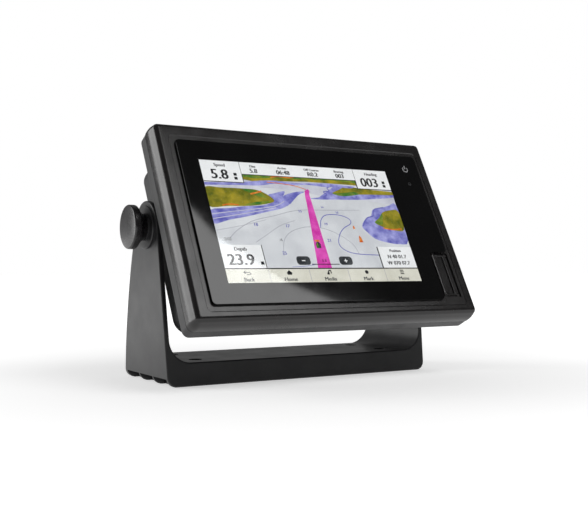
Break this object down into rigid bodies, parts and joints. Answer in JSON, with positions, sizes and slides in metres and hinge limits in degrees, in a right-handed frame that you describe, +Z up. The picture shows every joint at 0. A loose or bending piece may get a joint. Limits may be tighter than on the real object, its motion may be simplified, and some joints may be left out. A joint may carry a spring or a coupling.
{
  "type": "chartplotter display",
  "caption": "Marine chart display with a touch screen, a card door and a tilting bail bracket held by two clamping knobs.",
  "frame": {"origin": "centre of the bracket's base, on the surface it is screwed to", "axes": "+Z up from the base, -Y towards the viewer of the screen, +X to the right as seen from the front"},
  "size_m": [0.2444, 0.128, 0.1712],
  "materials": {
    "bracket_nylon": "satin moulded nylon with a fine grain",
    "bezel_gloss": "semi-gloss moulded plastic",
    "cover_glass": "clear cover glass, printed black behind its border",
    "seal_rubber": "matte rubber",
    "panel_glass": "polarised display glass",
    "white_film": "white reflector film",
    "steel": "stainless steel",
    "board": "glass-fibre board with solder resist",
    "flex_film": "amber flexible circuit",
    "tinned_steel": "tinned or nickel-plated sheet",
    "soft_pad": "soft heat-conducting pad",
    "aluminium_plate": "plain aluminium sheet",
    "ceramic": "fired ceramic",
    "brass": "plain or gold-plated brass",
    "case_plastic": "matte moulded plastic",
    "nickel": "nickel-plated brass",
    "label_film": "printed polyester label",
    "knob_satin": "satin moulded plastic"
  },
  "bodies": {
    "bracket": {"bracket": "bracket_nylon"},
    "head": {"front_bezel": "bezel_gloss", "touch_glass": "cover_glass", "glass_adhesive": "seal_rubber", "lcd_panel": "panel_glass", "backlight": "white_film", "display_frame": "steel", "frame_screws": "steel", "key_board": "board", "display_flex": "flex_film", "touch_flex": "flex_film", "main_board": "board", "board_screws": "steel", "processor_shield": "tinned_steel", "thermal_pad": "soft_pad", "heat_spreader": "aluminium_plate", "antenna_patch": "ceramic", "antenna_board": "board", "antenna_coax": "brass", "beeper": "case_plastic", "backup_battery": "tinned_steel", "card_board": "board", "card_reader": "tinned_steel", "door_pin": "steel", "case_seal": "seal_rubber", "rear_housing": "case_plastic", "case_screws": "steel", "power_socket": "case_plastic", "power_pins": "brass", "bus_socket": "nickel", "bus_pins": "brass", "socket_seals": "seal_rubber", "vent_plug": "seal_rubber", "rear_label": "label_film", "pivot_insert_left": "brass", "pivot_insert_right": "brass", "friction_washer_left": "seal_rubber", "friction_washer_right": "seal_rubber"},
    "knob_washer_left": {"knob_washer_left": "case_plastic"},
    "knob_left": {"knob_left": "knob_satin", "knob_stud_left": "steel"},
    "knob_washer_right": {"knob_washer_right": "case_plastic"},
    "knob_right": {"knob_right": "knob_satin", "knob_stud_right": "steel"},
    "card_door": {"card_door": "bezel_gloss", "door_seal": "seal_rubber"},
    "memory_card": {"memory_card": "case_plastic"}
  },
  "joints": [
    {"name": "head_tilt", "type": "hinge", "parent": "bracket", "child": "head", "pos_m": [0, -0.008, 0.104], "axis": [-1, 0, 0], "range_deg": [-22, 32]},
    {"name": "knob_left_travel", "type": "slide", "parent": "head", "child": "knob_washer_left", "axis": [-1, 0, 0], "range_m": [0, 0.0045]},
    {"name": "knob_left_turn", "type": "hinge", "parent": "knob_washer_left", "child": "knob_left", "pos_m": [-0.114, -0.008, 0.104], "axis": [-1, 0, 0], "range_deg": [0, 1085]},
    {"name": "knob_right_travel", "type": "slide", "parent": "head", "child": "knob_washer_right", "axis": [1, 0, 0], "range_m": [0, 0.0045]},
    {"name": "knob_right_turn", "type": "hinge", "parent": "knob_washer_right", "child": "knob_right", "pos_m": [0.114, -0.008, 0.104], "axis": [1, 0, 0], "range_deg": [0, 1085]},
    {"name": "card_door_swing", "type": "hinge", "parent": "head", "child": "card_door", "pos_m": [0.0978, -0.07566, 0.07089], "axis": [0, 0.4695, 0.8829], "range_deg": [0, 110]},
    {"name": "memory_card_travel", "type": "slide", "parent": "head", "child": "memory_card", "axis": [0, -0.8829, 0.4695], "range_m": [-0.001, 0.003]}
  ],
  "couplings": [
    {"joint": "knob_left_turn", "follows": "knob_left_travel", "rad_per_m": 4188.8},
    {"joint": "knob_right_turn", "follows": "knob_right_travel", "rad_per_m": 4188.8}
  ]
}
